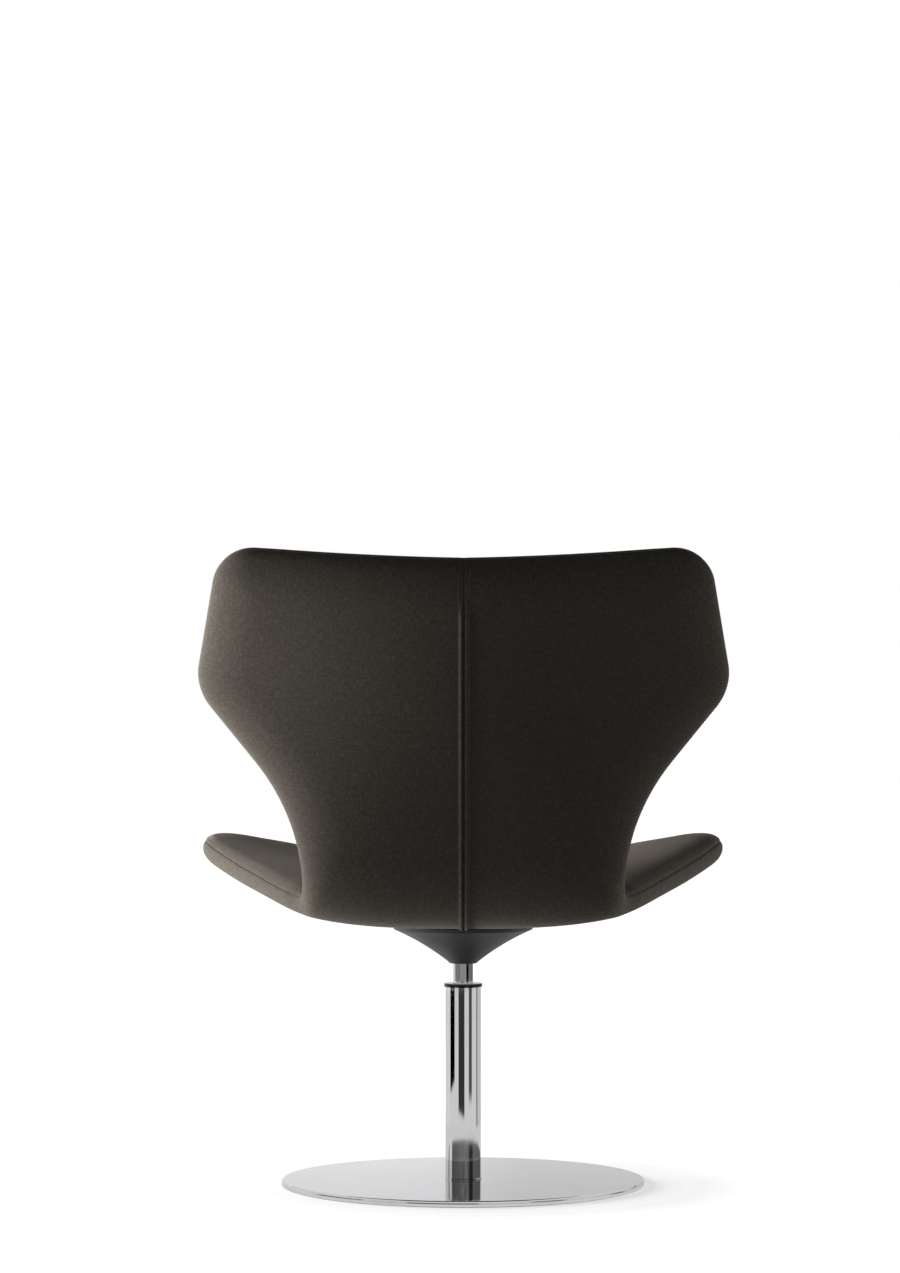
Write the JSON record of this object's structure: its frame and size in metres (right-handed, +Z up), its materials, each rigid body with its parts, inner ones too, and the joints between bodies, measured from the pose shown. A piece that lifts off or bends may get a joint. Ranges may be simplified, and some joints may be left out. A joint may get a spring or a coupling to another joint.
{
  "type": "swivel lounge chair",
  "caption": "Low upholstered lounge chair with a winged one-piece shell that swivels on a chromed column and a flat round base plate.",
  "frame": {"origin": "on the floor, on the swivel axis, at the centre of the base plate", "axes": "+Z up along the swivel axis, the seat faces -Y, +X to the sitter's left"},
  "size_m": [0.7448, 0.6754, 0.888],
  "materials": {
    "rubber_ring": "soft matt PVC",
    "chrome": "polished chrome",
    "steel": "plain turned steel",
    "bush": "natural acetal",
    "brass": "plain brass",
    "black_steel": "black powder coat",
    "cap_plastic": "polished black moulding",
    "cover_plastic": "fine-grained charcoal moulding",
    "block": "birch plywood",
    "core": "moulded reinforced plastic",
    "fabric": "finely woven taupe-charcoal wool"
  },
  "bodies": {
    "base": {"floor_ring": "rubber_ring", "base_disc": "chrome", "base_screws": "steel", "column_foot": "chrome", "column_tube": "chrome", "lower_bush": "bush", "upper_bush": "bush", "column_cap": "cap_plastic", "thrust_race_lower": "steel", "ball_cage": "brass", "thrust_balls": "steel"},
    "seat": {"thrust_race_upper": "steel", "swivel_stem": "chrome", "retaining_washer": "steel", "circlip": "steel", "seat_plate": "black_steel", "seat_bolts": "black_steel", "threaded_inserts": "brass", "grip_ring": "rubber_ring", "cone_cover": "cover_plastic", "mounting_block": "block", "core_shell": "core", "outer_cover_left": "fabric", "outer_cover_right": "fabric", "inner_seat_pad": "fabric", "inner_back_pad": "fabric"}
  },
  "joints": [
    {"name": "swivel", "type": "hinge", "parent": "base", "child": "seat", "pos_m": [0, 0, 0.283], "axis": [0, 0, 1], "continuous": true}
  ]
}
